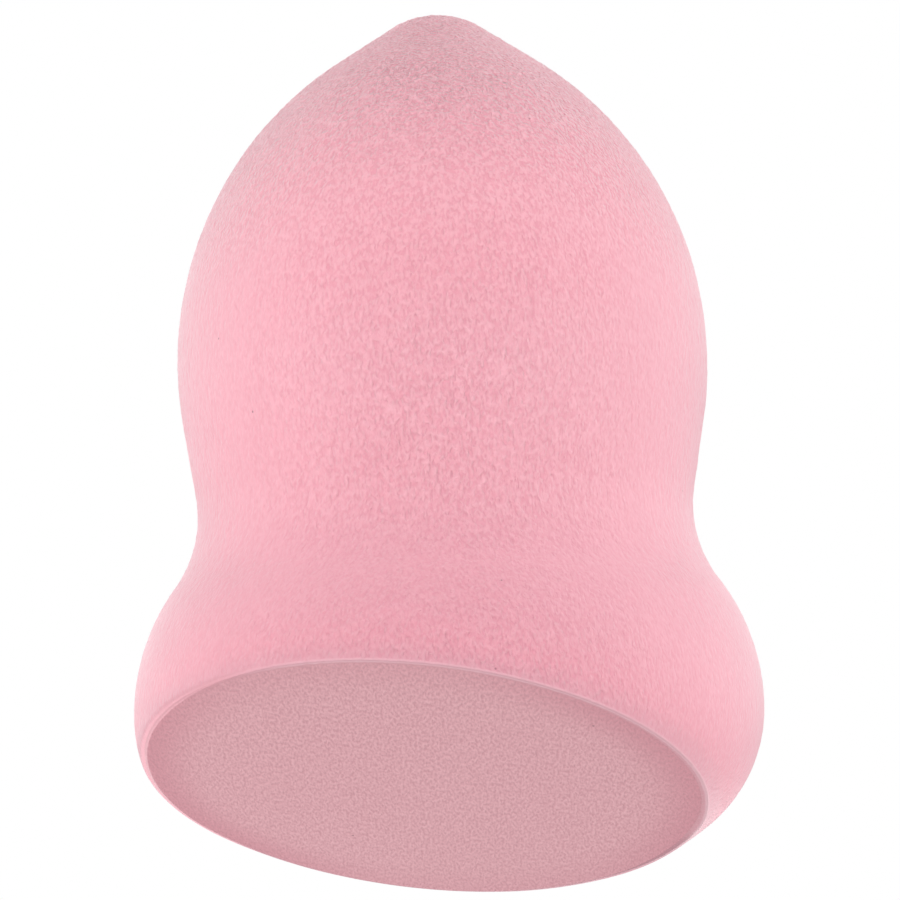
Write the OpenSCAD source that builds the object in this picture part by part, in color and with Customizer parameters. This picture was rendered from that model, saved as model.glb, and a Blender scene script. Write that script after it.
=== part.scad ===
// Makeup sponge: a foam gourd with a rounded point, a full dome, a soft waist and a wide bulge, cut flat
// on a slant so that it stands. The half profile is a chain of arcs and short straight lines that touch
// without a corner, spun round the gourd's own axis. The slanted cut is the floor, z = 0, and the point
// leans towards -Y. The origin is where the gourd's own axis meets the cut face.

/* [Bulge] */
// Diameter of the bulge at its widest ring
bulge_d = 41.8; // [38:0.1:46]
// Radius of the curve that goes from the widest ring up to the waist
bulge_upper_r = 14.2; // [10:0.1:18]
// Radius of the curve that goes from the widest ring down under the bulge
bulge_lower_r = 9.9; // [7:0.1:13]
// Radius of the shallow curve across the moulded end, before the cut
base_r = 28.1; // [25:0.1:40]

/* [Waist] */
// Diameter of the waist at its narrowest ring
waist_d = 33.2; // [28:0.1:34.8]
// Radius of the hollow curve round the waist
waist_r = 8.5; // [5:0.1:16]

/* [Dome and point] */
// Length of the straight taper between the waist's curve and the dome's curve
taper_l = 4.8; // [0:0.1:8]
// Diameter of the dome at its widest ring
dome_d = 35.7; // [35:0.1:40]
// Radius of the dome's long curve
dome_r = 24.6; // [20:0.1:32]
// Length of the straight flank between the dome's curve and the rounded point
flank_l = 4.9; // [0:0.1:8]
// Radius of the rounded point
point_r = 5.8; // [3:0.1:10]

/* [Cut] */
// Slant of the cut, measured from square across the gourd
cut_angle = 26.3; // [0:0.1:35]
// Distance of the cut from the middle of the bulge's widest ring
cut_offset = 7.1; // [5:0.1:9]

/* [Skin] */
// Thickness of the dense moulded skin round the open foam
skin_t = 0.3; // [0.2:0.05:0.8]

/* [Hidden] */

// Straight steps that each arc of the profile is drawn with
arc_steps = 16;
// Sides of the spun shape on screen
$fn = 120;

// One side of a right-angled triangle, from its longest side and the other one
function leg(longest, other) = sqrt(longest ^ 2 - other ^ 2);

// How far apart along the axis two arcs are centred, so that a straight line of length l touches both.
// across is the distance between their centres square to the axis. A hollow arc has a negative radius.
function rise(r1, r2, across, l = 0) = leg(norm([r1 - r2, l]), across);

// The way a surface faces is an angle: 0 is straight out from the axis, 90 is up and -90 is down
function facing(from, to) = atan2(to.y - from.y, to.x - from.x);

// The facing of the straight line of length l that touches two arcs
function line_facing(c1, r1, c2, r2, l) = facing(c1, c2) - atan2(l, r1 - r2);

// Distances of the arcs' centres from the axis. The curves of the base and the point are centred on it.
upper_x = bulge_d / 2 - bulge_upper_r;
lower_x = bulge_d / 2 - bulge_lower_r;
waist_x = waist_d / 2 + waist_r;
dome_x = dome_d / 2 - dome_r;

// Heights of the waist, the dome and the point's centre above the bulge's widest ring
waist_rise = rise(bulge_upper_r, -waist_r, waist_x - upper_x);
dome_rise = waist_rise + rise(-waist_r, dome_r, waist_x - dome_x, taper_l);
point_rise = dome_rise + rise(dome_r, point_r, dome_x, flank_l);

// Places in the half profile are [distance from the axis, height above the bulge's widest ring]
base_centre = [0, rise(base_r, bulge_lower_r, lower_x)];
lower_centre = [lower_x, 0];
upper_centre = [upper_x, 0];
waist_centre = [waist_x, waist_rise];
dome_centre = [dome_x, dome_rise];
point_centre = [0, point_rise];

base_end = facing(base_centre, lower_centre);
bulge_end = facing(upper_centre, waist_centre);
taper = line_facing(waist_centre, -waist_r, dome_centre, dome_r, taper_l);
flank = line_facing(dome_centre, dome_r, point_centre, point_r, flank_l);

// Each arc from the bottom to the point: its centre, its radius, and the facing at its start and end
arcs = [
    [base_centre, base_r, -90, base_end],
    [lower_centre, bulge_lower_r, base_end, 0],
    [upper_centre, bulge_upper_r, 0, bulge_end],
    [waist_centre, -waist_r, bulge_end, taper],
    [dome_centre, dome_r, taper, flank],
    [point_centre, point_r, flank, 90],
];

// Points nearer to each other than this are one point
same_point = skin_t / 1000;

// The point of an arc at one facing, drawn in by inset along that facing
function arc_point(arc, angle, inset) = arc[0] + (arc[1] - inset) * [cos(angle), sin(angle)];

function arc_points(arc, inset) =
    [for (i = [0:arc_steps]) arc_point(arc, arc[2] + (arc[3] - arc[2]) * i / arc_steps, inset)];

function without_repeats(points) =
    [for (i = [0:len(points) - 1]) if (i == 0 || norm(points[i] - points[i - 1]) > same_point) points[i]];

function reversed(points) = [for (i = [len(points) - 1:-1:0]) points[i]];

// The half profile, drawn in everywhere by the same inset
function profile(inset) = without_repeats([for (arc = arcs) each arc_points(arc, inset)]);

// Height of the bulge's middle above the cut, along the gourd's own axis
middle_rise = cut_offset / cos(cut_angle);
// The space under the cut reaches past the whole gourd
cut_reach = bulge_d + base_r + point_rise + point_r;

// Spins a half profile, leans the gourd and takes away all that lies under the cut
module leaning_gourd(points) {
    difference() {
        rotate([cut_angle, 0, 0])
            translate([0, 0, middle_rise])
                rotate_extrude()
                    polygon(points);
        translate([-cut_reach, -cut_reach, -cut_reach])
            cube([2 * cut_reach, 2 * cut_reach, cut_reach]);
    }
}

// The open foam, bare at the cut face
module foam_core() {
    color([0.83, 0.64, 0.67])
        leaning_gourd(profile(skin_t));
}

// The dense skin of the moulding, which ends at the cut in a thin rim round the bare foam
module moulded_skin() {
    color([0.94, 0.67, 0.73])
        leaning_gourd(concat(profile(0), reversed(profile(skin_t))));
}

foam_core();
moulded_skin();
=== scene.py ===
# %% [markdown]
# # A makeup sponge
#
# This lesson dresses one foam sponge for a picture. The sponge is a gourd, with a rounded point, a full dome,
# a soft waist and a wide bulge, and one flat cut on a slant that it stands on. A factory pours foam into a
# closed mould and then slices the end off. So there are two things to make: the smooth, pebbled skin that the
# foam forms against the mould, and the open foam that only the cut shows.
#
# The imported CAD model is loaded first. It stays where it is, as the frame that each piece is fitted to.

# %% Load the frame
import math

import bpy
import numpy as np
from mathutils import Matrix, Vector


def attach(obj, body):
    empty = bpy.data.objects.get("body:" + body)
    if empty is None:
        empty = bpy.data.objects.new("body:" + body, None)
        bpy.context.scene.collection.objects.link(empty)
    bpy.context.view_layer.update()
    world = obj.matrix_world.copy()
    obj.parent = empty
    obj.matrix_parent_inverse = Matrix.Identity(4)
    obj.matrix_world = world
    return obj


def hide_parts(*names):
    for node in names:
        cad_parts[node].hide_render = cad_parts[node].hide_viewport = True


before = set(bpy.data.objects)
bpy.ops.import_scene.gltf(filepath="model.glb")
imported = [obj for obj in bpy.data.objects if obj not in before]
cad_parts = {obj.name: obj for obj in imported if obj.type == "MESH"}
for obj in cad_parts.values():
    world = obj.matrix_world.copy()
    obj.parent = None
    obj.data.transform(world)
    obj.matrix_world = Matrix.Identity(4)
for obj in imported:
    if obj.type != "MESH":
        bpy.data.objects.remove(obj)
scene = bpy.context.scene
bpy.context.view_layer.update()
print("CAD nodes:", sorted(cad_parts))

# %% [markdown]
# ## The gourd's half outline
#
# Everything on this sponge follows from one line: half of its outline, from the point down to the middle of
# the moulded end. Drawn by hand with a few Bezier handles, it would drift apart from the CAD. So it is worked
# out from the same named sizes as the CAD, as a chain of arcs that touch without a corner. Sizes are in
# millimetres here, and they become metres when a curve is made.

# %% Sizes of the gourd
MM = 0.001

bulge_d, bulge_upper_r, bulge_lower_r, base_r = 41.8, 14.2, 9.9, 28.1
waist_d, waist_r, taper_l = 33.2, 8.5, 4.8
dome_d, dome_r, flank_l, point_r = 35.7, 24.6, 4.9, 5.8
cut_angle, cut_offset = math.radians(26.3), 7.1
skin_t = 0.3

middle_rise = cut_offset / math.cos(cut_angle)
print("the bulge's middle stands", round(middle_rise, 3), "mm above the cut, along the gourd's axis")


# %% Arcs that touch
def rise(r1, r2, across, straight=0.0):
    """How far apart along the axis two arcs are centred, so that a straight line touches both."""
    return math.sqrt((r1 - r2) ** 2 + straight**2 - across**2)


def facing(start, end):
    """The direction from one place to another in the half outline, in radians up from straight out."""
    return math.atan2(end[1] - start[1], end[0] - start[0])


def touching_arcs():
    """[(centre, radius, facing at its start, facing at its end)] from the moulded end to the point, in mm."""
    upper, lower = bulge_d / 2 - bulge_upper_r, bulge_d / 2 - bulge_lower_r
    waist, dome = waist_d / 2 + waist_r, dome_d / 2 - dome_r
    waist_h = rise(bulge_upper_r, -waist_r, waist - upper)
    dome_h = waist_h + rise(-waist_r, dome_r, waist - dome, taper_l)
    point_h = dome_h + rise(dome_r, point_r, dome, flank_l)
    base_c, lower_c, upper_c = (0, rise(base_r, bulge_lower_r, lower)), (lower, 0), (upper, 0)
    waist_c, dome_c, point_c = (waist, waist_h), (dome, dome_h), (0, point_h)
    base_end, bulge_end = facing(base_c, lower_c), facing(upper_c, waist_c)
    taper = facing(waist_c, dome_c) - math.atan2(taper_l, -waist_r - dome_r)
    flank = facing(dome_c, point_c) - math.atan2(flank_l, dome_r - point_r)
    return [
        (base_c, base_r, -math.pi / 2, base_end),
        (lower_c, bulge_lower_r, base_end, 0),
        (upper_c, bulge_upper_r, 0, bulge_end),
        (waist_c, -waist_r, bulge_end, taper),
        (dome_c, dome_r, taper, flank),
        (point_c, point_r, flank, math.pi / 2),
    ]


print("radii of the arcs, from the moulded end to the point:", [arc[1] for arc in touching_arcs()])


# %% Points along the outline
def half_outline(inset, step=0.1):
    """Places [distance from the axis, height over the bulge's middle] in mm, from the point down."""
    places = []
    for centre, radius, start, end in touching_arcs():
        drawn = radius - inset
        turns = np.linspace(start, end, max(2, round(abs(drawn * (end - start)) / step) + 1))
        places += [(centre[0] + drawn * math.cos(t), centre[1] + drawn * math.sin(t)) for t in turns]
    places = np.array(places)[::-1]
    apart = np.hypot(*np.diff(places, axis=0).T)
    return places[np.r_[True, apart > 1e-4]]


outside, lining = half_outline(0), half_outline(skin_t)
outline_l = np.hypot(*np.diff(outside, axis=0).T).sum()
print(len(outside), "places in the outline, which is", round(outline_l, 2), "mm long")


# %% Find the middle of the cut face
def cut_reach(outline, side):
    """How far from the gourd's axis, along the floor, the cut meets the outline in front (-1) or behind (1)."""
    out, up = outline[:, 0] * side, outline[:, 1] + middle_rise
    height = math.sin(cut_angle) * out + math.cos(cut_angle) * up
    along = math.cos(cut_angle) * out - math.sin(cut_angle) * up
    last = np.nonzero(height > 0)[0][-1]
    share = height[last] / (height[last] - height[last + 1])
    return along[last] + share * (along[last + 1] - along[last])


face_front, face_back = cut_reach(outside, -1), cut_reach(outside, 1)
face_middle = (face_front + face_back) / 2
print("the cut face reaches from y =", round(face_front, 2), "to", round(face_back, 2), "mm")


# %% Draw the outlines as curves
def placed(name, data):
    """A new object at the origin, in the scene."""
    made = bpy.data.objects.new(name, data)
    scene.collection.objects.link(made)
    return made


def outline_curve(name, places):
    """A curve object in the XZ plane, which Geometry Nodes can follow."""
    curve = bpy.data.curves.new(name, "CURVE")
    curve.dimensions = "3D"
    line = curve.splines.new("POLY")
    line.points.add(len(places) - 1)
    flat = np.zeros((len(places), 4))
    flat[:, 0], flat[:, 2], flat[:, 3] = places[:, 0] * MM, places[:, 1] * MM, 1
    line.points.foreach_set("co", flat.ravel())
    return placed(name, curve)


outside_curve, lining_curve = outline_curve("outside_outline", outside), outline_curve("lining_outline", lining)
print("curves:", outside_curve.name, "and", lining_curve.name)

# %% [markdown]
# ## Short ways to write a node tree
#
# A tree of nodes is long to write out in full. This class adds a node, fills its inputs with numbers or with
# other nodes' outputs, and writes sums in one line. Both the geometry and the finishes use it.


# %% A helper for node trees
class Nodes:
    """Adds nodes to one tree. A value may be a number, a vector, or another node's output."""

    def __init__(self, tree):
        self.tree = tree

    def fill(self, socket, value):
        if isinstance(value, bpy.types.NodeSocket):
            self.tree.links.new(value, socket)
        else:
            socket.default_value = value

    def add(self, kind, inputs=None, **settings):
        node = self.tree.nodes.new(kind)
        for key, value in settings.items():
            setattr(node, key, value)
        for key, value in (inputs or {}).items():
            named = (s for s in node.inputs if s.name == key and s.enabled)
            self.fill(node.inputs[key] if isinstance(key, int) else next(named), value)
        return node

    def math(self, operation, *values, clamp=False):
        """One sum of numbers, and its output."""
        node = self.add("ShaderNodeMath", dict(enumerate(values)), operation=operation)
        node.use_clamp = clamp
        return node.outputs[0]

    def times(self, first, *others):
        """The product of two or more numbers."""
        for other in others:
            first = self.math("MULTIPLY", first, other)
        return first

    def vector(self, operation, *values):
        """One sum of vectors, and its output, which is a number for a length or a distance."""
        node = self.add("ShaderNodeVectorMath", {}, operation=operation)
        for i, value in enumerate(values):
            self.fill(node.inputs["Scale"] if operation == "SCALE" and i == 1 else node.inputs[i], value)
        return node.outputs["Value" if operation in ("LENGTH", "DISTANCE", "DOT_PRODUCT") else "Vector"]

    def combine(self, x=0.0, y=0.0, z=0.0):
        return self.add("ShaderNodeCombineXYZ", {0: x, 1: y, 2: z}).outputs[0]

    def separate(self, vector):
        return self.add("ShaderNodeSeparateXYZ", {0: vector}).outputs

    def ramp(self, value, low, high, to_low=0.0, to_high=1.0, smooth=True):
        """Goes from to_low to to_high as value goes from low to high, and stays level outside."""
        kind = "SMOOTHSTEP" if smooth else "LINEAR"
        ends = {"Value": value, "From Min": low, "From Max": high, "To Min": to_low, "To Max": to_high}
        return self.add("ShaderNodeMapRange", ends, interpolation_type=kind).outputs["Result"]


def empty_tree(owner):
    """The node tree of a material or a world, with nothing in it."""
    owner.use_nodes = True
    owner.node_tree.nodes.clear()
    return Nodes(owner.node_tree)


def group(name, kind, inputs, outputs):
    """A new node group. Its sockets are given as (name, type) or (name, type, default)."""
    tree = bpy.data.node_groups.new(name, kind)
    for way, sockets in (("INPUT", inputs), ("OUTPUT", outputs)):
        for label, socket, *default in sockets:
            made = tree.interface.new_socket(label, in_out=way, socket_type=socket)
            if default:
                made.default_value = default[0]
    nodes = Nodes(tree)
    return nodes, nodes.add("NodeGroupInput").outputs, nodes.add("NodeGroupOutput").inputs


print("ready to write node trees")

# %% [markdown]
# ## A gourd from rings and spokes
#
# Spinning the outline would leave the slanted cut to a Boolean, and a Boolean leaves long thin faces just
# where the light catches the rim. So the tree starts from a plain UV sphere, used only for how its faces
# join: rings from one pole to the other, no seam, and both poles closed. Each vertex knows its ring and its
# spoke from its number. The rings are then dealt out: some go down the wall, a few turn the edge, and the
# rest line the inside of the skin, or cross the cut face of the foam.


# %% Number the sphere's rings and spokes
def numbered_sphere(n, given):
    """The sphere's mesh, each vertex's ring, its turn round the axis in radians, and the number of rings."""
    spokes = given["Spokes"]
    all_rings = n.math("ADD", n.math("ADD", given["Wall Rings"], given["Edge Rings"]), given["Lining Rings"])
    form = {"Segments": spokes, "Rings": all_rings, "Radius": 10 * MM}
    ball = n.add("GeometryNodeMeshUVSphere", form).outputs["Mesh"]
    number = n.math("SUBTRACT", n.add("GeometryNodeInputIndex").outputs[0], 1.0)
    whole = n.math("FLOOR", n.math("DIVIDE", number, spokes))
    spoke = n.math("SUBTRACT", number, n.math("MULTIPLY", whole, spokes))
    turn = n.times(n.math("DIVIDE", spoke, spokes), 2 * math.pi)
    return ball, n.math("ADD", whole, 1.0), turn, all_rings


print("vertex 0 is the first pole, and vertex 1 starts the first ring")


# %% Follow an outline
def follow(n, given, curve, share, turn):
    """A place on an outline, turned to its spoke and leant, its normal, and the place before leaning."""
    on = n.add("GeometryNodeSampleCurve", {"Curves": curve, "Factor": share}, mode="FACTOR")
    out, _, up = n.separate(on.outputs["Position"])
    run, _, drop = n.separate(on.outputs["Tangent"])
    cosine, sine = n.math("COSINE", turn), n.math("SINE", turn)

    def spun(distance, height):
        return n.combine(n.math("MULTIPLY", distance, cosine), n.math("MULTIPLY", distance, sine), height)

    def leant(vector):
        inputs = {"Vector": vector, "Angle": given["Slant"]}
        return n.add("ShaderNodeVectorRotate", inputs, rotation_type="X_AXIS").outputs[0]

    upright = spun(out, up)
    raised = n.vector("ADD", upright, n.combine(z=given["Middle Height"]))
    normal = leant(spun(n.math("MULTIPLY", drop, -1.0), run))
    return leant(raised), normal, upright


def store(n, geometry, name, value):
    inputs = {"Geometry": geometry, "Name": name, "Value": value}
    return n.add("GeometryNodeStoreNamedAttribute", inputs).outputs[0]


def stored(n, name):
    return n.add("GeometryNodeInputNamedAttribute", {"Name": name}).outputs[0]


print("an outline is followed by a share of its length, 0 at the point and 1 at the moulded end")

# %% [markdown]
# ### Where the cut meets each spoke
#
# The cut is slanted, so it meets each spoke at a different place on the outline, which no short sum gives. A
# Repeat zone finds it by halving instead: it looks whether a point on the outline is over or under the cut,
# moves towards the cut, and steps half as far each time.

# %% Find the cut by halving
HALVINGS = 20


def find_cut(n, given, geometry, curve, turn, name):
    """Stores at each vertex the share of the outline at which its spoke meets the cut."""
    geometry = store(n, geometry, name, 0.5)
    start, end = n.add("GeometryNodeRepeatInput"), n.add("GeometryNodeRepeatOutput")
    start.pair_with_output(end)
    end.repeat_items.new("FLOAT", "Step")
    n.fill(start.inputs["Iterations"], HALVINGS)
    n.fill(start.inputs["Geometry"], geometry)
    n.fill(start.inputs["Step"], 0.25)
    share, step = stored(n, name), start.outputs["Step"]
    place, _, _ = follow(n, given, curve, share, turn)
    side = n.math("SIGN", n.separate(place)[2])
    moved = n.math("ADD", share, n.math("MULTIPLY", side, step))
    n.fill(end.inputs["Geometry"], store(n, start.outputs["Geometry"], name, moved))
    n.fill(end.inputs["Step"], n.math("MULTIPLY", step, 0.5))
    return end.outputs["Geometry"]


micrometres = outline_l * 1000 / 2 ** (HALVINGS + 1)
print("the cut is found to within", round(micrometres, 3), "micrometres along the outline")

# %% [markdown]
# ### Dealing out the rings
#
# Rings set evenly down the wall would be too coarse at the rim, where the skin turns a tight edge. So the last
# few of them share one narrow zone above the cut, and the others spread over the rest of the wall. Distance
# from the rim, up the wall, across the edge or up the lining, is kept as from_edge. The blade's marks and the
# finishes measure from it.


# %% Share out the wall and the lining
def shares(n, given, ring, all_rings, cuts, lengths):
    """Shares of the wall's and the lining's outlines at each ring, and the distances of both from the cut."""
    wall_rings, fine, zone = given["Wall Rings"], given["Fine Rings"], given["Fine Zone"]
    left = n.math("MAXIMUM", n.math("SUBTRACT", wall_rings, ring), 0.0)
    near = n.times(n.math("DIVIDE", n.math("MINIMUM", left, fine), fine), zone)
    down = n.times(cuts["Wall"], lengths["Wall"])
    coarse = n.math("MAXIMUM", n.math("SUBTRACT", left, fine), 0.0)
    rest = n.math("DIVIDE", coarse, n.math("SUBTRACT", wall_rings, fine))
    wall_up = n.math("ADD", near, n.times(n.math("SUBTRACT", down, zone), rest))
    wall_share = n.math("DIVIDE", n.math("SUBTRACT", down, wall_up), lengths["Wall"])
    lining_left = n.math("DIVIDE", n.math("SUBTRACT", all_rings, ring), given["Lining Rings"], clamp=True)
    lining_share = n.times(cuts["Lining"], n.math("MAXIMUM", lining_left, given["Solid"]))
    lining_up = n.times(n.math("SUBTRACT", cuts["Lining"], lining_share), lengths["Lining"])
    return wall_share, wall_up, lining_share, lining_up


print("a solid piece has no lining, so its last rings cross the cut face instead")

# %% [markdown]
# ### Relief
#
# A mould for foam isn't polished, so the skin comes out pebbled: low, worm-like grains about half a millimetre
# wide, longer along the gourd than across it, stronger at the point and calmer on the bulge. A bump map alone
# would leave the outline smooth as glass, so they are real bumps, moved along the surface's normal by a Noise
# Texture. A slower noise makes the whole form a little uneven. The cut face has fine open cells instead,
# drawn out one way by the blade. They only sink into the face, since it rests on the table.


# %% Noise for grain, unevenness and cells
# The way across the face that the blade drew the cells out, and how narrow they are for their length
CELL_WAY, CELL_NARROW = math.radians(18), 0.42
# A ramp is (from, to, value at first, value at last). These share out the grain's depth, over the height above
# the bulge's middle and over the distance from the rim.
CALM_BULGE, STRONG_POINT = (-2 * MM, 12 * MM, 0.4, 1.0), (30 * MM, 42 * MM, 1.0, 1.3)
CALM_RIM = (0.1 * MM, 0.8 * MM, 0.3, 1.0)
GRAIN_TWIST = 0.5


def noise(n, given, place, size, distortion=0.0):
    """A noise from about -0.5 to 0.5 over a place, with features of a size."""
    inputs = {"Vector": n.vector("DIVIDE", place, size), "W": given["Seed"], "Scale": 1.0}
    inputs |= {"Detail": 1.0, "Distortion": distortion}
    made = n.add("ShaderNodeTexNoise", inputs, noise_dimensions="4D")
    return n.math("SUBTRACT", made.outputs[0], 0.5)


def wall_relief(n, given, upright, from_edge):
    """The grain, from about -1 to 1, and how far the wall moves along its normal."""
    grain_size = n.combine(given["Grain Width"], given["Grain Width"], given["Grain Length"])
    grain = n.times(noise(n, given, upright, grain_size, GRAIN_TWIST), 2.0)
    swell = n.times(noise(n, given, upright, given["Swell Size"]), 2.0)
    height = n.separate(upright)[2]
    shown = n.times(n.ramp(from_edge, *CALM_RIM), n.ramp(height, *CALM_BULGE), n.ramp(height, *STRONG_POINT))
    bumps = n.times(grain, given["Grain Depth"], shown)
    return grain, n.math("ADD", bumps, n.times(swell, given["Swell Depth"]))


def cell_relief(n, given, place):
    """The open cells of the cut face, from 0 to 1, drawn out along the blade's way."""
    inputs = {"Vector": place, "Angle": given["Cell Way"]}
    turned = n.add("ShaderNodeVectorRotate", inputs, rotation_type="Z_AXIS", invert=True).outputs[0]
    drawn_out = n.vector("MULTIPLY", turned, (1.0, CELL_NARROW, 1.0))
    return n.math("ADD", noise(n, given, drawn_out, given["Cell Size"]), 0.5, clamp=True)


print("cells are", round(1 / CELL_NARROW, 1), "times as long as wide")

# %% [markdown]
# ### How the blade left the edge
#
# The blade drags soft foam with it. Where it goes in, the edge is left rounded, and where it comes out it
# leaves a thin, pale lip of skin that stands proud and ends in a small torn corner. A Bevel modifier would
# give the same edge all round. Here both are sums on the distance from the rim, and they fade into each
# other by how far a spoke points the way that the blade came out.


# %% The blade's marks
# How far a spoke points the way the blade came out, from -1 to 1, for a lip and for a crisp edge
LIP_SIDE, CRISP_SIDE = (0.1, 0.6), (-0.3, 0.48)
# Ramps over y on the floor: where the lip ends, and how much prouder it stands towards its torn corner
LIP_END, TORN_CORNER = (0.6 * MM, 1.2 * MM, 1.0, 0.0), (-3 * MM, 0.6 * MM, 1.0, 2.2)
# How far the middle of a round edge of radius 1 lies inside the corner, each way
CORNER_IN = 0.293


def fading(n, distance, reach):
    """1 at the rim, and down to 0 in a soft curve at reach."""
    return n.math("POWER", n.math("SUBTRACT", 1.0, n.math("DIVIDE", distance, reach, clamp=True)), 2.0)


def blade_marks(n, given, outer_edge, centre, from_edge, wall_up, wall_side):
    """Two moves of the surface, the rounding and the lip, and how much of a lip there is at each spoke."""
    level_out = n.vector("MULTIPLY", n.vector("SUBTRACT", outer_edge, centre), (1.0, 1.0, 0.0))
    out = n.vector("NORMALIZE", level_out)
    exit_way = n.combine(n.math("COSINE", given["Blade Exit"]), n.math("SINE", given["Blade Exit"]))
    exit_side = n.vector("DOT_PRODUCT", out, exit_way)
    edge_y = n.separate(outer_edge)[1]
    lip = n.times(n.ramp(exit_side, *LIP_SIDE), n.ramp(edge_y, *LIP_END))
    torn = n.ramp(edge_y, *TORN_CORNER)
    radii = {"Factor": n.ramp(exit_side, *CRISP_SIDE), "A": given["Entry Radius"], "B": given["Exit Radius"]}
    radius = n.add("ShaderNodeMix", radii).outputs[0]
    rounding = n.times(radius, CORNER_IN, fading(n, from_edge, radius))
    proud = n.times(given["Lip Height"], lip, torn, fading(n, wall_up, given["Lip Width"]), wall_side)
    inwards_up = n.vector("SUBTRACT", (0.0, 0.0, 1.0), out)
    return n.vector("SCALE", inwards_up, rounding), n.vector("SCALE", out, proud), lip


print("an edge of radius 1 moves in and up by", CORNER_IN, "at its middle")

# %% [markdown]
# ### The whole tree
#
# The steps above come together here. The mesh keeps what the finishes will read, as attributes: the relief,
# the cells, the distance from the rim, the lip and whether it is on the face. The edges round the cut face are
# marked sharp, because the cut meets the skin in a crisp corner that smooth shading would blur.

# %% What the tree is given
OBJECT, FLOAT, INT, BOOL, MATERIAL = ("NodeSocket" + x for x in ("Object", "Float", "Int", "Bool", "Material"))
GOURD_INPUTS = [
    ("Outside", OBJECT), ("Wall", OBJECT), ("Lining", OBJECT), ("Solid", BOOL, False), ("Finish", MATERIAL),
    ("Spokes", INT, 96), ("Wall Rings", INT, 60), ("Fine Rings", INT, 8),
    ("Edge Rings", INT, 3), ("Lining Rings", INT, 12),
    ("Slant", FLOAT), ("Middle Height", FLOAT), ("Face Middle", FLOAT), ("Fine Zone", FLOAT, 0.0008),
    ("Grain Width", FLOAT, 0.0006), ("Grain Length", FLOAT, 0.0009), ("Grain Depth", FLOAT),
    ("Swell Size", FLOAT, 0.006), ("Swell Depth", FLOAT),
    ("Cell Size", FLOAT, 0.0003), ("Cell Depth", FLOAT), ("Cell Way", FLOAT),
    ("Blade Exit", FLOAT), ("Entry Radius", FLOAT), ("Exit Radius", FLOAT),
    ("Lip Height", FLOAT), ("Lip Width", FLOAT, 0.0004), ("Seed", FLOAT, 0.0),
]
print("the tree has", len(GOURD_INPUTS), "inputs")


# %% Put the tree together
# Ramps over the distance from the rim: the face's marks fade up the lining, the wall moves only sideways next
# to the floor, and the cells begin
UP_LINING, LEVEL_RIM, FIRST_CELLS = (0.0, 0.3 * MM, 1.0, 0.0), (0.0, 1 * MM), (0.0, 0.6 * MM)


def between(n, a, b, share):
    return n.add("ShaderNodeMix", {"Factor": share, "A": a, "B": b}, data_type="VECTOR").outputs[1]


def dressed_surface(n, given, ring, turn, all_rings, cuts, curves):
    """The place of each vertex, and its marks for the finishes."""
    lengths = {k: n.add("GeometryNodeCurveLength", {"Curve": curves[k]}).outputs[0] for k in ("Wall", "Lining")}
    wall_share, wall_up, lining_share, lining_up = shares(n, given, ring, all_rings, cuts, lengths)
    across = n.math("DIVIDE", n.math("SUBTRACT", ring, given["Wall Rings"]), given["Edge Rings"], clamp=True)
    wall_side, at_rim = n.math("SUBTRACT", 1.0, across), n.ramp(lining_up, *UP_LINING)
    wall_place, wall_normal, upright = follow(n, given, curves["Wall"], wall_share, turn)
    lining_place, _, _ = follow(n, given, curves["Lining"], lining_share, turn)
    edges = {k: follow(n, given, curves[k], cuts[k], turn)[0] for k in curves}
    centre = n.combine(y=given["Face Middle"])

    def far(place):
        inputs = {"Switch": given["Solid"], "False": place, "True": centre}
        return n.add("GeometryNodeSwitch", inputs, input_type="VECTOR").outputs[0]

    in_face = n.vector("DISTANCE", edges["Outside"], between(n, edges["Wall"], far(edges["Lining"]), across))
    from_edge = n.math("ADD", n.math("ADD", wall_up, lining_up), in_face)
    grain, moved = wall_relief(n, given, upright, from_edge)
    level = n.combine(1.0, 1.0, n.ramp(wall_up, *LEVEL_RIM))
    push = n.vector("SCALE", n.vector("MULTIPLY", wall_normal, level), n.times(moved, wall_side))
    place = between(n, n.vector("ADD", wall_place, push), far(lining_place), across)
    marks = blade_marks(n, given, edges["Outside"], centre, from_edge, wall_up, wall_side)
    rounding, proud, lip = marks
    place = n.vector("ADD", n.vector("ADD", place, rounding), proud)
    cells, on_face = cell_relief(n, given, place), n.times(across, at_rim)
    sunk = n.times(cells, given["Cell Depth"], on_face, n.ramp(in_face, *FIRST_CELLS))
    place = n.vector("ADD", place, n.combine(z=sunk))
    return place, {"relief": grain, "cells": cells, "from_edge": from_edge, "lip": lip, "on_face": on_face}


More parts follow.
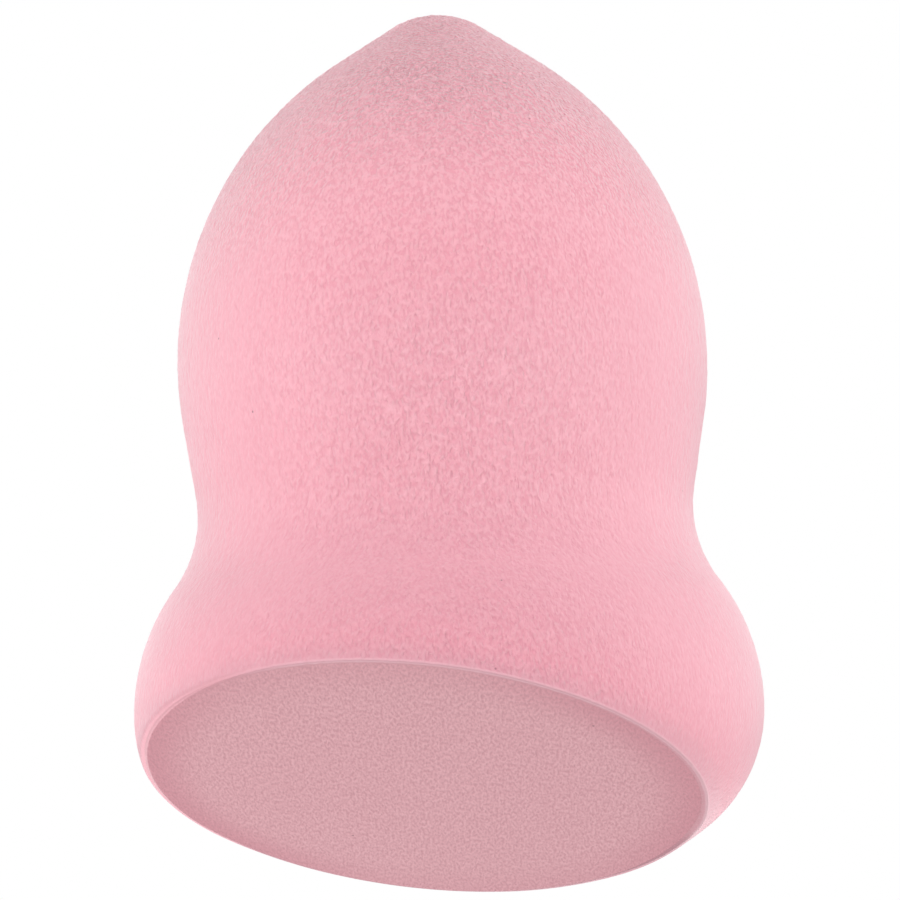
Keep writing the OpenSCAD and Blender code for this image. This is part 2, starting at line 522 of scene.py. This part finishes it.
def gourd_tree():
    """The node group that grows one piece from its outlines, sizes and finish."""
    n, given, result = group("Cut gourd", "GeometryNodeTree", GOURD_INPUTS, [("Piece", "NodeSocketGeometry")])
    outlines = {k: n.add("GeometryNodeObjectInfo", {"Object": given[k]}) for k in ("Outside", "Wall", "Lining")}
    curves = {k: info.outputs["Geometry"] for k, info in outlines.items()}
    piece, ring, turn, all_rings = numbered_sphere(n, given)
    for key in curves:
        piece = find_cut(n, given, piece, curves[key], turn, "cut_" + key.lower())
    cuts = {k: stored(n, "cut_" + k.lower()) for k in curves}
    place, marks = dressed_surface(n, given, ring, turn, all_rings, cuts, curves)
    edge_end = n.times(given["Edge Rings"], n.math("SUBTRACT", 1.0, given["Solid"]))
    marks["corner"] = n.math("COMPARE", ring, n.math("ADD", given["Wall Rings"], edge_end), 0.5)
    for name, value in marks.items():
        piece = store(n, piece, name, value)
    piece = n.add("GeometryNodeSetPosition", {"Geometry": piece, "Position": place}).outputs[0]
    piece = n.add("GeometryNodeSetShadeSmooth", {"Geometry": piece}).outputs[0]
    at_corner = n.math("GREATER_THAN", stored(n, "corner"), 0.99)
    crisp = {"Geometry": piece, "Selection": at_corner, "Shade Smooth": False}
    piece = n.add("GeometryNodeSetShadeSmooth", crisp, domain="EDGE").outputs[0]
    for name in ("cut_outside", "cut_wall", "cut_lining", "corner"):
        piece = n.add("GeometryNodeRemoveAttribute", {"Geometry": piece, "Name": name}).outputs[0]
    piece = n.add("GeometryNodeRealizeInstances", {"Geometry": piece}).outputs[0]
    dressed = {"Geometry": piece, "Material": given["Finish"]}
    n.fill(result["Piece"], n.add("GeometryNodeSetMaterial", dressed).outputs[0])
    return n.tree


gourd = gourd_tree()
print(gourd.name, "has", len(gourd.nodes), "nodes")

# %% [markdown]
# ## Finishes
#
# Foam has no gloss to speak of. What makes it look like foam is how the light breaks up on it: small cells,
# slightly deeper pink in the hollows, a soft fuzz of broken cell walls that whitens it where it is seen along
# the surface, and a faint blotchiness from the pour. A photographed texture would carry someone's light with
# it, and show a seam. So two node groups make masks and heights from noise, and each material gives them its
# own sizes.


# %% Shared effects: small cells, and stray specks
# The part of a noise's range that is used, and a speck's soft edge as shares of its size
NOISE_RANGE, SPECK_EDGE = (0.2, 0.8), (0.35, 0.6)


def fine_cells():
    """Heights of small cells, and slow blotches, both from 0 to 1."""
    inputs = [("Place", "NodeSocketVector"), ("Cell Size", FLOAT, 0.3), ("Cell Length", FLOAT, 0.3)]
    inputs += [("Blotch Size", FLOAT, 5.0)]
    n, given, result = group("Fine cells", "ShaderNodeTree", inputs, [("Height", FLOAT), ("Blotches", FLOAT)])
    cell = n.combine(given["Cell Size"], given["Cell Size"], given["Cell Length"])
    at = n.vector("DIVIDE", given["Place"], cell)
    small = {"Vector": at, "Scale": 1.0, "Detail": 1.0, "Distortion": 0.3}
    soft = n.add("ShaderNodeTexNoise", small).outputs[0]
    n.fill(result["Height"], n.ramp(soft, *NOISE_RANGE, smooth=False))
    wide = n.vector("DIVIDE", given["Place"], given["Blotch Size"])
    slow = n.add("ShaderNodeTexNoise", {"Vector": wide, "Scale": 1.0, "Detail": 2.0}).outputs[0]
    n.fill(result["Blotches"], slow)
    return n.tree


def stray_specks():
    """A mask that is 1 on a few small round specks, one at most in each Voronoi cell."""
    inputs = [("Place", "NodeSocketVector"), ("Spacing", FLOAT, 4.0), ("Speck Size", FLOAT, 0.12)]
    inputs += [("Share", FLOAT, 0.1)]
    n, given, result = group("Stray specks", "ShaderNodeTree", inputs, [("Mask", FLOAT)])
    at = n.vector("DIVIDE", given["Place"], given["Spacing"])
    cell = n.add("ShaderNodeTexVoronoi", {"Vector": at, "Scale": 1.0}).outputs
    size = n.math("DIVIDE", given["Speck Size"], given["Spacing"])
    dot = n.ramp(cell["Distance"], *(n.times(size, edge) for edge in SPECK_EDGE), 1.0, 0.0)
    chance = n.add("ShaderNodeSeparateColor", {0: cell["Color"]}).outputs[0]
    pick = n.math("LESS_THAN", chance, given["Share"])
    n.fill(result["Mask"], n.times(dot, pick))
    return n.tree


cells_group, specks_group = fine_cells(), stray_specks()
print("groups:", cells_group.name, "and", specks_group.name)


# %% A start for each finish
def colour(red, green, blue):
    """A colour from the usual 0 to 255 screen values to Blender's linear ones."""
    shares = [c / 255 for c in (red, green, blue)]
    return tuple(c / 12.92 if c <= 0.04045 else ((c + 0.055) / 1.055) ** 2.4 for c in shares) + (1.0,)


def new_finish(name, constants):
    """(material, nodes, the Principled BSDF)."""
    material = bpy.data.materials.new(name)
    n = empty_tree(material)
    shader = n.add("ShaderNodeBsdfPrincipled", constants)
    n.fill(n.add("ShaderNodeOutputMaterial").inputs["Surface"], shader.outputs[0])
    return material, n, shader


def in_mm(n, turned=(0.0, 0.0, 0.0), stretch=1.0):
    """The place on the piece in mm, in a frame that is turned, and stretched along its Y."""
    place = n.add("ShaderNodeTexCoord").outputs["Object"]
    inputs = {"Vector": place, "Rotation": turned, "Scale": (MM, MM * stretch, MM)}
    return n.add("ShaderNodeMapping", inputs, vector_type="TEXTURE").outputs[0]


def mixed(n, share, a, b):
    return n.add("ShaderNodeMix", {"Factor": share, "A": a, "B": b}, data_type="RGBA").outputs[2]


def grouped(n, tree, inputs):
    return n.add("ShaderNodeGroup", inputs, node_tree=tree).outputs


def attribute(n, name):
    return n.add("ShaderNodeAttribute", attribute_name=name, attribute_type="GEOMETRY").outputs["Fac"]


print("ready to write finishes")

# %% [markdown]
# ### The moulded skin
#
# The skin is dense foam, a little lighter than what lies under it. Its grain is lit from the side, so every
# bump shows a light and a dark flank, and a bump map adds the finest part of it. Lighter tops and deeper pink
# pits and hollows of the grain are also painted into the colour, as painted highlight and painted shade. Seen
# along the surface, the fuzz of broken cell walls hides that grain, so Layer Weight calms the fine bumps and
# that painted highlight and shade there. High on the dome the pink is a shade deeper, and under the waist a
# deeper pink is painted shade. At the rim the blade sliced through the skin: it shows the foam's deeper colour
# on the entry side, and a pale stretched lip on the other, made paler by a painted highlight. At the back of
# the rim, behind the gourd's middle, a deeper and wider band is painted shade. A few dark specks of pigment
# didn't disperse.

# %% The skin's pink
# The grain's darker pits and lighter tops, and its deeper hollows, are painted shade and painted highlight
GRAIN_PAINTED_SHADE, GRAIN_PAINTED_HIGHLIGHT, HOLLOW_PAINTED_SHADE = colour(239, 165, 180), colour(249, 186, 198), colour(230, 152, 167)
# The last colour here, a deeper pink under the waist, is painted shade
BLOTCH_PINK, DOME_PINK, UNDER_WAIST_SHADE_PINK = colour(246, 183, 194), colour(243, 150, 166), colour(213, 140, 157)
# Ramps over how far the surface faces away, over the fine noise, over the relief and over the blotches
BY_VIEW, GRAIN_RANGE = (0.0, 0.38, 1.0, 0.35), (0.25, 0.75)
HOLLOWS, SKIN_BLOTCHES = (0.25, -0.35, 0.0, 0.15), (0.35, 0.65, 0.0, 0.10)
# Ramps over the height along the gourd, in mm: the point's grain and contrast, the deeper dome and its upper
# end, and the painted shade under the waist and its lower end
POINT_GRAIN, POINT_CONTRAST = (30.0, 49.0, 0.0, 1.32), (30.0, 48.0, 1.0, 3.2)
DEEP_DOME, DOME_END = (28.0, 36.0, 0.0, 0.26), (40.0, 48.0, 1.0, 0.4)
UNDER_WAIST, WAIST_END = (22.0, 16.0, 0.0, 0.30), (10.5, 16.0, 0.65, 1.0)


def grain_strength(n, height):
    """How much of the fine grain shows: all of it face on, little where fuzz hides it, more at the point."""
    facing_away = n.add("ShaderNodeLayerWeight", {"Blend": 0.5}).outputs["Facing"]
    unhidden = n.ramp(facing_away, *BY_VIEW, smooth=False)
    return n.math("MAXIMUM", unhidden, n.ramp(height, *POINT_GRAIN, smooth=False))


def skin_pink(n, fine, height, shows):
    """Pink: painted highlight and shade on the grain, blotches, a deeper dome, painted shade under the waist.
    """
    contrast = n.times(shows, n.ramp(height, *POINT_CONTRAST))
    spread = n.math("SUBTRACT", n.ramp(fine["Height"], *GRAIN_RANGE, smooth=False), 0.5)
    # Darker pits and lighter tops of the grain: painted shade and painted highlight
    pink = mixed(n, n.math("MULTIPLY_ADD", spread, contrast, 0.5), GRAIN_PAINTED_SHADE, GRAIN_PAINTED_HIGHLIGHT)
    # Deeper pink in the relief's hollows: painted shade
    pink = mixed(n, n.times(n.ramp(attribute(n, "relief"), *HOLLOWS), shows), pink, HOLLOW_PAINTED_SHADE)
    pink = mixed(n, n.ramp(fine["Blotches"], *SKIN_BLOTCHES), pink, BLOTCH_PINK)
    deep_dome = n.times(n.ramp(height, *DEEP_DOME), n.ramp(height, *DOME_END), shows)
    pink = mixed(n, deep_dome, pink, DOME_PINK)
    # Below the waist the pink deepens: painted shade where the waist turns into the bulge
    half_hidden = n.math("MULTIPLY_ADD", shows, 0.5, 0.5)
    waist_shade = n.times(n.ramp(height, *UNDER_WAIST), n.ramp(height, *WAIST_END), half_hidden)
    return mixed(n, waist_shade, pink, UNDER_WAIST_SHADE_PINK)


print("the point shows up to", POINT_GRAIN[-1], "times the fine grain")

# %% The skin's sliced rim and the whole finish
# The second colour is painted shade, on the thin strip of skin just above the cut behind the gourd's middle
SLICED_PINK, BACK_STRIP_SHADE, SKIN_SPECK = colour(230, 163, 174), colour(205, 138, 152), colour(150, 92, 98)
# The lip's two colours are its pale stretched skin, made paler by a painted highlight where it catches the
# light
LIP_WALL_AND_HIGHLIGHT, LIP_FACE_AND_HIGHLIGHT = colour(246, 188, 199), colour(255, 208, 216)
# The sliced skin's width, and how much wider the band of painted shade grows over the first few mm behind the
# gourd's middle
SLICED_WIDTH, WIDER, BEHIND = 0.55 * MM, 0.9 * MM, (0.0, 3.0)
# The pale lip's ramp over the distance from the rim, with its painted highlight, and how far the relief makes
# its edge ragged
PALE_WIDTH, RAGGED = (0.12 * MM, 0.22 * MM, 0.9, 0.0), 0.06 * MM
DRAGGED_SHARE, CALM_BUMP = 0.8, (0.0, 0.5 * MM, 0.2, 1.0)
SKIN_CELLS = {"Cell Size": 0.20, "Cell Length": 0.37, "Blotch Size": 6.0}
SPECKS = {"Spacing": 4.0, "Speck Size": 0.16}


def sliced_rim(n, pink, upright):
    """Colours at the rim: foam where the blade went in, painted shade at the back, pale lip with painted
    highlight.
    """
    edge, lip, sliced = attribute(n, "from_edge"), attribute(n, "lip"), attribute(n, "on_face")
    # Behind the gourd's middle the rim band grows wider and deeper: painted shade on the strip above the cut
    behind = n.ramp(n.separate(upright)[1], *BEHIND)
    width = n.math("MULTIPLY_ADD", behind, WIDER, SLICED_WIDTH)
    dragged_and_back_shade = n.math("MAXIMUM", n.math("SUBTRACT", DRAGGED_SHARE, lip), behind)
    # The rim band is the foam's colour on the entry side, and painted shade at the back
    open_foam = n.math("ADD", n.ramp(edge, width, 0.0, 0.0, dragged_and_back_shade), sliced, clamp=True)
    pink = mixed(n, open_foam, pink, mixed(n, behind, SLICED_PINK, BACK_STRIP_SHADE))
    ragged = n.math("MULTIPLY_ADD", attribute(n, "relief"), RAGGED, edge)
    # The pale lip: stretched skin, made paler by a painted highlight
    pale = n.times(n.ramp(ragged, *PALE_WIDTH), lip)
    return mixed(n, pale, pink, mixed(n, sliced, LIP_WALL_AND_HIGHLIGHT, LIP_FACE_AND_HIGHLIGHT))


def skin_finish():
    matt = {"Specular IOR Level": 0.25, "Sheen Weight": 0.66, "Sheen Roughness": 0.5}
    material, n, shader = new_finish("moulded foam skin", matt)
    upright = in_mm(n, (cut_angle, 0.0, 0.0))
    height = n.separate(upright)[2]
    fine = grouped(n, cells_group, SKIN_CELLS | {"Place": upright})
    specks = grouped(n, specks_group, SPECKS | {"Place": upright, "Share": 0.6})["Mask"]
    shows = grain_strength(n, height)
    pink = sliced_rim(n, skin_pink(n, fine, height, shows), upright)
    n.fill(shader.inputs["Base Color"], mixed(n, n.times(specks, 0.6), pink, SKIN_SPECK))
    n.fill(shader.inputs["Roughness"], n.ramp(fine["Height"], *NOISE_RANGE, 0.86, 0.70))
    grain = n.times(fine["Height"], n.ramp(attribute(n, "from_edge"), *CALM_BUMP))
    bump = n.add("ShaderNodeBump", {"Strength": n.times(shows, 0.82), "Distance": 0.19 * MM, "Height": grain})
    n.fill(shader.inputs["Normal"], bump.outputs[0])
    return material


skin_material = skin_finish()
print(skin_material.name, "has", len(skin_material.node_tree.nodes), "nodes")

# %% [markdown]
# ### The cut open foam
#
# The cut shows the foam as it is inside: matt, a shade greyer and darker than the skin, and full of open cells
# about a fifth of a millimetre across, which hold shadow, painted into the colour as painted shade. Towards
# the rim, most at the two sides, the colour deepens to a more saturated pink: painted light that has passed
# through the thin edge of the foam. Only the colour and a shallow bump carry the finest cells, since the
# larger ones are already sunk into the mesh.


# %% The open foam's finish
# The last colour, a deeper pink near the rim, is painted light that has passed through the thin edge of the
# foam
FOAM_PINK, FOAM_BLOTCH, THROUGH_LIGHT_PINK = colour(248, 188, 196), colour(251, 192, 200), colour(231, 156, 169)
# The first two colours are painted shade in the fine cells and in the sunk ones
FINE_CELL_SHADE, SUNK_CELL_SHADE, FOAM_SPECK = colour(213, 148, 159), colour(205, 138, 149), colour(130, 80, 84)
# Painted light through the thin edge: ramps over the distance from the rim, and over the distance to either
# side in mm
THROUGH_LIGHT_RIM, THROUGH_LIGHT_SIDES = (0.4 * MM, 4.5 * MM, 0.85, 0.0), (6.0, 17.0, 0.35, 1.0)
# Ramps over the noises: the pour's blotches, and the painted shade in the fine cells and in the sunk ones
FOAM_BLOTCHES, FINE_SHADE, SUNK_SHADE = (0.35, 0.65, 0.0, 0.35), (0.75, 0.2, 0.0, 0.68), (0.45, 0.75, 0.0, 0.1)
OPEN_CELLS = {"Cell Size": 0.16, "Cell Length": 0.16, "Blotch Size": 7.0}


def foam_finish():
    matt = {"Specular IOR Level": 0.2, "Sheen Weight": 0.4, "Sheen Roughness": 0.5}
    material, n, shader = new_finish("cut open foam", matt)
    upright, drawn_out = in_mm(n, (cut_angle, 0.0, 0.0)), in_mm(n, (0.0, 0.0, CELL_WAY), 1 / CELL_NARROW)
    fine = grouped(n, cells_group, OPEN_CELLS | {"Place": drawn_out})
    specks = grouped(n, specks_group, SPECKS | {"Place": upright, "Share": 0.5})["Mask"]
    sideways = n.math("ABSOLUTE", n.separate(upright)[0])
    # Deeper pink towards the rim and the sides: painted light through the thin edge
    through_light = n.times(n.ramp(attribute(n, "from_edge"), *THROUGH_LIGHT_RIM), n.ramp(sideways, *THROUGH_LIGHT_SIDES))
    pink = mixed(n, n.ramp(fine["Blotches"], *FOAM_BLOTCHES), FOAM_PINK, FOAM_BLOTCH)
    pink = mixed(n, through_light, pink, THROUGH_LIGHT_PINK)
    # Shadow in the cells: painted shade
    pink = mixed(n, n.ramp(fine["Height"], *FINE_SHADE, smooth=False), pink, FINE_CELL_SHADE)
    pink = mixed(n, n.ramp(attribute(n, "cells"), *SUNK_SHADE), pink, SUNK_CELL_SHADE)
    n.fill(shader.inputs["Base Color"], mixed(n, n.times(specks, 0.7), pink, FOAM_SPECK))
    n.fill(shader.inputs["Roughness"], n.ramp(fine["Height"], *NOISE_RANGE, 0.95, 0.85))
    bump = n.add("ShaderNodeBump", {"Strength": 1.0, "Distance": 0.04 * MM, "Height": fine["Height"]})
    n.fill(shader.inputs["Normal"], bump.outputs[0])
    return material


foam_material = foam_finish()
print(foam_material.name, "has", len(foam_material.node_tree.nodes), "nodes")

# %% [markdown]
# ## Growing the two pieces
#
# Both pieces come from the one tree. The skin follows the outside down and its lining back up, and the open
# foam follows the lining down and then crosses the cut. No cloth simulation is needed: the sponge's form is
# the mould's. A modifier's input is set by its identifier, because its name is only a label. The result
# becomes a plain mesh, and the modifier goes.


# %% Grow a piece
def grow(name, sizes):
    """A plain mesh object from the gourd tree, at the origin, with its place in its mesh."""
    made = placed(name, bpy.data.meshes.new(name))
    growing = made.modifiers.new("Gourd", "NODES")
    growing.node_group = gourd
    for item in gourd.interface.items_tree:
        if item.item_type == "SOCKET" and item.in_out == "INPUT" and item.name in sizes:
            growing[item.identifier] = sizes[item.name]
    graph = bpy.context.evaluated_depsgraph_get()
    kept = {"preserve_all_data_layers": True, "depsgraph": graph}
    grown = bpy.data.meshes.new_from_object(made.evaluated_get(graph), **kept)
    blank, made.data = made.data, grown
    made.modifiers.clear()
    bpy.data.meshes.remove(blank)
    grown.name = name
    return made


print("ready to grow the pieces")

# %% Sizes that both pieces share
SPOKES = 960
common = {
    "Outside": outside_curve, "Lining": lining_curve, "Spokes": SPOKES,
    "Slant": cut_angle, "Middle Height": middle_rise * MM, "Face Middle": face_middle * MM,
    "Grain Width": 0.40 * MM, "Grain Length": 0.75 * MM, "Swell Size": 7 * MM,
    "Cell Size": 0.22 * MM, "Cell Depth": 0.02 * MM, "Cell Way": CELL_WAY,
    "Blade Exit": math.radians(-39), "Entry Radius": 0.6 * MM, "Exit Radius": 0.12 * MM, "Lip Width": 0.4 * MM,
}
skin_rings = {"Wall Rings": 440, "Fine Rings": 10, "Edge Rings": 8, "Lining Rings": 20}
foam_rings = {"Wall Rings": 30, "Fine Rings": 4, "Edge Rings": 160, "Lining Rings": 0}
print("the skin has", sum(skin_rings.values()) - skin_rings["Fine Rings"], "rings of", SPOKES, "faces")

# %% The skin and the open foam
skin_depths = {"Grain Depth": 0.058 * MM, "Swell Depth": 0.05 * MM, "Lip Height": 0.05 * MM}
skin_own = skin_rings | {"Wall": outside_curve, "Solid": False, "Finish": skin_material}
foam_own = foam_rings | {"Wall": lining_curve, "Solid": True, "Finish": foam_material}
skin = grow("moulded_foam_skin", common | skin_depths | skin_own)
foam = grow("open_foam_core", common | foam_own)
for outline in (outside_curve, lining_curve):
    curve = outline.data
    bpy.data.objects.remove(outline)
    bpy.data.curves.remove(curve)
for piece in (skin, foam):
    print(piece.name, len(piece.data.vertices), "vertices", len(piece.data.polygons), "faces")
    print("  size in mm", [round(x / MM, 2) for x in piece.dimensions])

# %% [markdown]
# ### A map for baking
#
# The picture needs no UV map, since the finishes read the place on the piece. But a game engine does, and its
# textures are baked through one. Blender's own unwrapping would cut the gourd into many islands, with a seam
# round each. The rings and spokes already say how the skin lies flat: round the gourd one way and down it the
# other, in two strips, one over the other. The lining that nobody sees gets little room. The cut face is
# flat, so it goes in as it is.

# %% Rings and spokes of every face corner
HIDDEN_SHARE = 0.05


def corner_numbers(mesh):
    """Each face corner's vertex, ring and spoke, and its face's first ring and spoke.

    Past the seam the spokes count on, and a corner at a pole is halfway across its face.
    """
    corner, starts = np.empty(len(mesh.loops), np.int64), np.empty(len(mesh.polygons), np.int64)
    mesh.loops.foreach_get("vertex_index", corner)
    mesh.polygons.foreach_get("loop_start", starts)
    sizes = np.diff(np.r_[starts, len(corner)])
    pole = (corner == 0) | (corner == len(mesh.vertices) - 1)
    ring, spoke = (corner - 1) // SPOKES + 1, ((corner - 1) % SPOKES).astype(float)
    first = np.repeat(np.minimum.reduceat(np.where(pole, SPOKES, spoke), starts), sizes)
    last = np.repeat(np.maximum.reduceat(np.where(pole, -1, spoke), starts), sizes)
    seam = last - first > 1
    spoke = np.where(seam & (spoke == 0), SPOKES, spoke)
    first = np.where(seam, SPOKES - 1, first)
    first_ring = np.repeat(np.minimum.reduceat(ring, starts), sizes)
    return corner, ring, np.where(pole, first + 0.5, spoke), first_ring, first


def vertex_places(mesh):
    places = np.empty(len(mesh.vertices) * 3)
    mesh.vertices.foreach_get("co", places)
    return places.reshape(-1, 3)


def ring_heights(mesh, hidden_from):
    """How far down each ring lies, from 0 to 1, by the mean distance between rings."""
    places = vertex_places(mesh)
    rings = [places[:1], *places[1:-1].reshape(-1, SPOKES, 3), places[-1:]]
    steps = np.array([np.linalg.norm(b - a, axis=1).mean() for a, b in zip(rings, rings[1:])])
    steps[hidden_from:] *= HIDDEN_SHARE
    down = np.r_[0, np.cumsum(steps)]
    return down / down[-1]


def keep_map(mesh, across, down):
    bake_map = mesh.uv_layers.new(name="OFBake")
    bake_map.data.foreach_set("uv", np.column_stack([across, down]).astype(np.float32).ravel())


print("ready to lay the maps out")

# %% Lay the skin and the foam out flat
# The gap between strips, and how much of the foam's map the cut face gets, as shares of the map
GAP, FACE_SHARE = 0.006, 0.95

_, ring, spoke, _, first_spoke = corner_numbers(skin.data)
strip = first_spoke // (SPOKES // 2)
heights = ring_heights(skin.data, skin_rings["Wall Rings"] + skin_rings["Edge Rings"])
keep_map(skin.data, spoke / (SPOKES // 2) - strip, (strip + GAP + heights[ring] * (1 - 2 * GAP)) / 2)

corner, ring, spoke, first_ring, _ = corner_numbers(foam.data)
on_cut = first_ring >= foam_rings["Wall Rings"]
x, y = vertex_places(foam.data)[corner, :2].T / MM
face_down = (y - face_front) / (face_back - face_front) * FACE_SHARE
wall_down = 1 - ring / foam_rings["Wall Rings"] * (1 - FACE_SHARE - GAP)
keep_map(foam.data, np.where(on_cut, x / bulge_d + 0.5, spoke / SPOKES), np.where(on_cut, face_down, wall_down))
print("maps:", [piece.data.uv_layers[0].name for piece in (skin, foam)])
print(round(on_cut.mean() * 100), "% of the foam's corners are on the cut")

# %% [markdown]
# ## Riding on the frame
#
# The sponge has no joint, so both pieces ride on its one body. Each stands for the CAD node of the same part,
# which stays behind, hidden. Both are soft all through.

# %% Give the pieces to the frame
for piece, node, slot in ((skin, "moulded_skin", "moulded_foam_skin"), (foam, "foam_core", "open_foam")):
    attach(piece, "root")
    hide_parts(node)
print("both pieces ride on the root body")

# %% [markdown]
# ## The floor
#
# The sponge is seen from below the level of the table, so a solid floor would hide it. This floor is white
# paper on its upper side and can't be seen or felt from below: Backfacing picks the side, and shadow rays
# pass, so a lamp under the table still reaches the cut face. From above it is a plain pale sweep. Far off it
# fades to an even white glow that only the camera sees, so there is no horizon.
#
# The paper lies a twentieth of a millimetre above the cut face, inside the foam, so that the two don't share
# a plane. Light would get lost in the narrow gap between the rounded rim and the paper and draw a dark line
# there, so to a ray shorter than a millimetre and a half the paper glows an even pale white: painted light
# that lights the rim from close by.

# %% The floor's finish
# How white the paper is, how bright it glows to a short ray, how long that is, and where the paper fades, in
# metres
PAPER_WHITE, NEAR_GLOW, NARROW_GAP, FADES = 0.9, 0.7, 1.5 * MM, (0.12, 0.5)


def paper_finish():
    paper = bpy.data.materials.new("white paper sweep")
    n = empty_tree(paper)
    path, white = n.add("ShaderNodeLightPath").outputs, (1.0, 1.0, 1.0, 1.0)
    matt = n.add("ShaderNodeBsdfDiffuse", {"Color": (*[PAPER_WHITE] * 3, 1.0)}).outputs[0]
    glow = n.add("ShaderNodeEmission", {"Color": white, "Strength": path["Is Camera Ray"]}).outputs[0]
    far_off = n.ramp(n.vector("LENGTH", n.add("ShaderNodeTexCoord").outputs["Object"]), *FADES)
    sweep = n.add("ShaderNodeMixShader", {0: far_off, 1: matt, 2: glow}).outputs[0]
    # To a short ray the paper glows: painted light on the rim from close by
    near_glow = n.add("ShaderNodeEmission", {"Color": white, "Strength": NEAR_GLOW}).outputs[0]
    near = n.math("LESS_THAN", path["Ray Length"], NARROW_GAP)
    upper = n.add("ShaderNodeMixShader", {0: near, 1: sweep, 2: near_glow}).outputs[0]
    passing = n.math("MAXIMUM", n.add("ShaderNodeNewGeometry").outputs["Backfacing"], path["Is Shadow Ray"])
    clear = n.add("ShaderNodeBsdfTransparent").outputs[0]
    one_sided = n.add("ShaderNodeMixShader", {0: passing, 1: upper, 2: clear}).outputs[0]
    n.fill(n.add("ShaderNodeOutputMaterial").inputs["Surface"], one_sided)
    return paper


paper = paper_finish()
print(paper.name, "has", len(paper.node_tree.nodes), "nodes")

# %% The floor
FLOOR_REACH, FLOOR_LEVEL = 3.0, 0.05 * MM

floor_mesh = bpy.data.meshes.new("floor")
corners = [(x * FLOOR_REACH, y * FLOOR_REACH, FLOOR_LEVEL) for x, y in ((-1, -1), (1, -1), (1, 1), (-1, 1))]
floor_mesh.from_pydata(corners, [], [(0, 1, 2, 3)])
floor_mesh.materials.append(paper)
placed("floor", floor_mesh)
print("the floor reaches", FLOOR_REACH, "m each way, at", FLOOR_LEVEL / MM, "mm")

# %% [markdown]
# ## The surroundings
#
# A product is photographed in a white room. The camera sees pure white behind the sponge. If all that white
# also lit the sponge, its form would wash out, so other rays see a much dimmer white, and lamps do the rest.

# %% A white room
ROOM_LIGHT = 0.30

scene.world = bpy.data.worlds.new("white studio")
n = empty_tree(scene.world)
dim, bright = (
    n.add("ShaderNodeBackground", {"Color": (1.0, 1.0, 1.0, 1.0), "Strength": strength}).outputs[0]
    for strength in (ROOM_LIGHT, 1.0)
)
seen = n.add("ShaderNodeLightPath").outputs["Is Camera Ray"]
room = n.add("ShaderNodeMixShader", {0: seen, 1: dim, 2: bright}).outputs[0]
n.fill(n.add("ShaderNodeOutputWorld").inputs["Surface"], room)
print("the room lights the sponge at", ROOM_LIGHT, "of the white that the camera sees")

# %% [markdown]
# ## The camera
#
# The picture looks up at the sponge from below the table and a little to the +X side of its front, with the
# gourd's point up. The camera is close, so the bulge looks a little larger than a long lens from two metres
# would draw it. The angles give a direction, and a roll about it sets the gourd upright in the frame.

# %% Place the camera
azimuth, elevation, roll = math.radians(22.53), math.radians(-32.15), math.radians(8.71)
aim, distance = Vector((1.114, -12.989, 21.712)) * MM, 200 * MM

level = math.cos(elevation)
back = Vector((math.sin(azimuth) * level, -math.cos(azimuth) * level, math.sin(elevation)))
camera_data = bpy.data.cameras.new("camera")
camera_data.lens, camera_data.sensor_width, camera_data.clip_start = 120, 36, 0.01
camera = placed("camera", camera_data)
rolled = (-back).to_track_quat("-Z", "Y").to_matrix().to_4x4() @ Matrix.Rotation(roll, 4, "Z")
camera.rotation_mode = "QUATERNION"
camera.rotation_quaternion = rolled.to_quaternion()
camera.location = aim + back * distance
scene.camera = camera
print("the camera stands at", [round(x / MM) for x in camera.location], "mm")

# %% [markdown]
# ## The lights
#
# The sides of the sponge are light and its middle is a shade deeper, so the light comes from both sides and a
# little from behind. That raking light also shows the grain. One more from high up draws the dome, with a
# weaker one to each side of it, and two from below lift the cut face. All are square softboxes half a metre
# away, and their places are given as the camera sees them.


# %% Softboxes
# The lamps' size and distance in metres, and the place in the sponge that they face
LAMP_SIZE, LAMP_DISTANCE, LIT_PLACE = 0.25, 0.5, Vector((0, -12 * MM, 22 * MM))


def softbox(side_of, azimuth, elevation, power):
    """A square soft light in watts. Its angles are in degrees, to the camera's right (180 is behind) and up."""
    side, height = math.radians(azimuth), math.radians(elevation)
    way = Vector((math.sin(side) * math.cos(height), math.sin(height), math.cos(side) * math.cos(height)))
    way.rotate(camera.rotation_quaternion)
    name = side_of + " softbox"
    data = bpy.data.lights.new(name, "AREA")
    data.shape, data.size, data.energy = "SQUARE", LAMP_SIZE, power
    lamp = placed(name, data)
    lamp.location = LIT_PLACE + way * LAMP_DISTANCE
    lamp.rotation_mode = "QUATERNION"
    lamp.rotation_quaternion = (-way).to_track_quat("-Z", "Y")
    lamp.visible_camera = False


for lamp in (
    ("left", -105, 0, 0.34), ("right", 75, 0, 0.49), ("right edge", 105, 0, 0.60),
    ("high", 0, 65, 0.95), ("high left", -90, 65, 0.24), ("high right", 90, 65, 0.24),
    ("back", 180, 35, 1.08), ("low left", -45, -35, 0.60), ("low side", -90, -65, 0.90),
):
    softbox(*lamp)
scene.view_settings.view_transform = "Standard"
